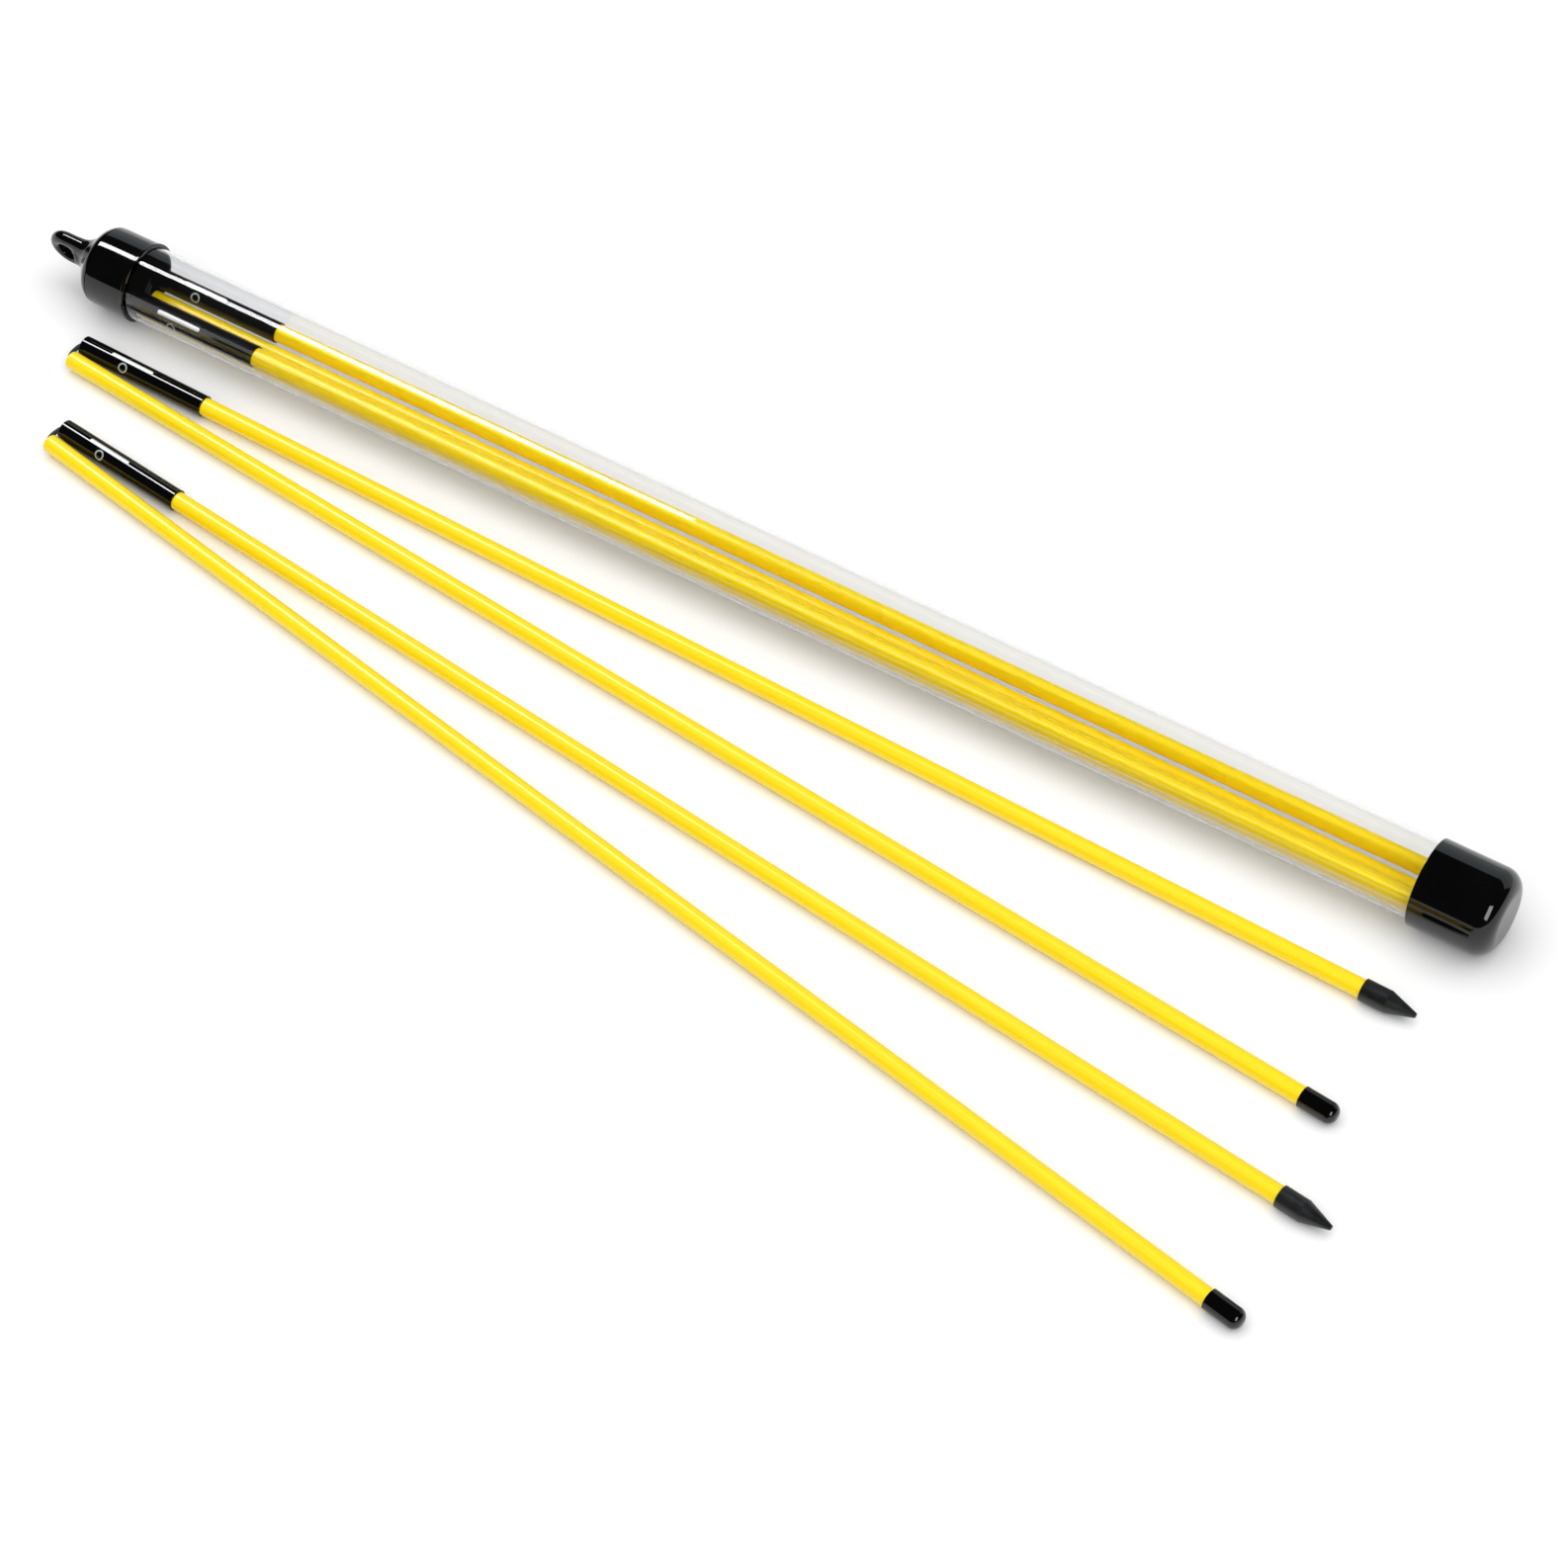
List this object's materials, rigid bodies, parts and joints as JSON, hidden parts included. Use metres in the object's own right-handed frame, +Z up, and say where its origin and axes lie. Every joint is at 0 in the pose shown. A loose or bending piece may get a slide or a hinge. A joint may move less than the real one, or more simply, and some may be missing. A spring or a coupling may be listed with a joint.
{
  "type": "alignment stick set",
  "caption": "Folding golf sighting rods with joining sleeves, point tips and round caps, stored in a clear tube with push-on caps and laid out beside it.",
  "frame": {"origin": "bottom centre of the whole set as it lies on a table", "axes": "+X along the tube from the hanger cap to the end cap, +Z up"},
  "size_m": [0.677, 0.22, 0.0354],
  "materials": {
    "clear_tube": "clear, glossy",
    "black_vinyl": "glossy dipped vinyl",
    "black_sleeve": "gloss black",
    "black_tip": "semi-matte moulded",
    "yellow_rod": "glossy fibreglass, bright yellow",
    "elastic_cord": "braided cover over rubber",
    "anchor_plastic": "natural nylon"
  },
  "bodies": {
    "tube": {"storage_tube": "clear_tube"},
    "hanger_cap": {"hanger_cap": "black_vinyl"},
    "end_cap": {"end_cap": "black_vinyl"},
    "stored_rear_stick": {"stored_rear_point_rod": "yellow_rod", "stored_rear_sleeve": "black_sleeve", "stored_rear_point_tip": "black_tip", "stored_rear_point_anchor": "anchor_plastic", "stored_rear_cap_rod": "yellow_rod", "stored_rear_round_cap": "black_vinyl", "stored_rear_cap_anchor": "anchor_plastic", "stored_rear_cord": "elastic_cord"},
    "stored_front_stick": {"stored_front_point_rod": "yellow_rod", "stored_front_sleeve": "black_sleeve", "stored_front_point_tip": "black_tip", "stored_front_point_anchor": "anchor_plastic", "stored_front_cap_rod": "yellow_rod", "stored_front_round_cap": "black_vinyl", "stored_front_cap_anchor": "anchor_plastic", "stored_front_cord": "elastic_cord"},
    "mid_stick": {"mid_point_rod": "yellow_rod", "mid_sleeve": "black_sleeve", "mid_point_tip": "black_tip", "mid_point_anchor": "anchor_plastic", "mid_point_cord": "elastic_cord"},
    "mid_cord": {"mid_cord_loop": "elastic_cord"},
    "mid_cap_side": {"mid_cap_rod": "yellow_rod", "mid_round_cap": "black_vinyl", "mid_cap_anchor": "anchor_plastic", "mid_cap_cord": "elastic_cord"},
    "front_stick": {"front_point_rod": "yellow_rod", "front_sleeve": "black_sleeve", "front_point_tip": "black_tip", "front_point_anchor": "anchor_plastic", "front_point_cord": "elastic_cord"},
    "front_cord": {"front_cord_loop": "elastic_cord"},
    "front_cap_side": {"front_cap_rod": "yellow_rod", "front_round_cap": "black_vinyl", "front_cap_anchor": "anchor_plastic", "front_cap_cord": "elastic_cord"}
  },
  "joints": [
    {"name": "hanger_cap_pull", "type": "slide", "parent": "tube", "child": "hanger_cap", "axis": [-1, 0, 0], "range_m": [0, 0.7]},
    {"name": "end_cap_pull", "type": "slide", "parent": "tube", "child": "end_cap", "axis": [1, 0, 0], "range_m": [0, 0.06]},
    {"name": "stored_rear_slide", "type": "slide", "parent": "tube", "child": "stored_rear_stick", "axis": [-1, 0, 0], "range_m": [0, 0.651]},
    {"name": "stored_front_slide", "type": "slide", "parent": "tube", "child": "stored_front_stick", "axis": [-1, 0, 0], "range_m": [0, 0.651]},
    {"name": "mid_lift", "type": "slide", "parent": "tube", "child": "mid_stick", "axis": [0, 0, 1], "range_m": [0, 0.614]},
    {"name": "mid_fold", "type": "hinge", "parent": "mid_stick", "child": "mid_cord", "pos_m": [-0.29956, 0.05506, 0.0045], "axis": [0, 0, -1], "range_deg": [0, 175.7], "deforming": ["mid_cord_loop"]},
    {"name": "mid_seat", "type": "slide", "parent": "mid_cord", "child": "mid_cap_side", "axis": [-0.9951, 0.0993, 0], "range_m": [0, 0.0307], "deforming": ["mid_cord_loop"]},
    {"name": "front_lift", "type": "slide", "parent": "tube", "child": "front_stick", "axis": [0, 0, 1], "range_m": [0, 0.308]},
    {"name": "front_fold", "type": "hinge", "parent": "front_stick", "child": "front_cord", "pos_m": [-0.27819, 0.01322, 0.0045], "axis": [0, 0, -1], "range_deg": [0, 176], "deforming": ["front_cord_loop"]},
    {"name": "front_seat", "type": "slide", "parent": "front_cord", "child": "front_cap_side", "axis": [-0.9826, 0.1857, 0], "range_m": [0, 0.0307], "deforming": ["front_cord_loop"]}
  ],
  "couplings": [
    {"joint": "stored_rear_slide", "follows": "hanger_cap_pull", "ratio": 0.93},
    {"joint": "stored_front_slide", "follows": "hanger_cap_pull", "ratio": 0.93},
    {"joint": "mid_lift", "follows": "mid_fold", "m_per_rad": 0.2},
    {"joint": "front_lift", "follows": "front_fold", "m_per_rad": 0.1}
  ]
}
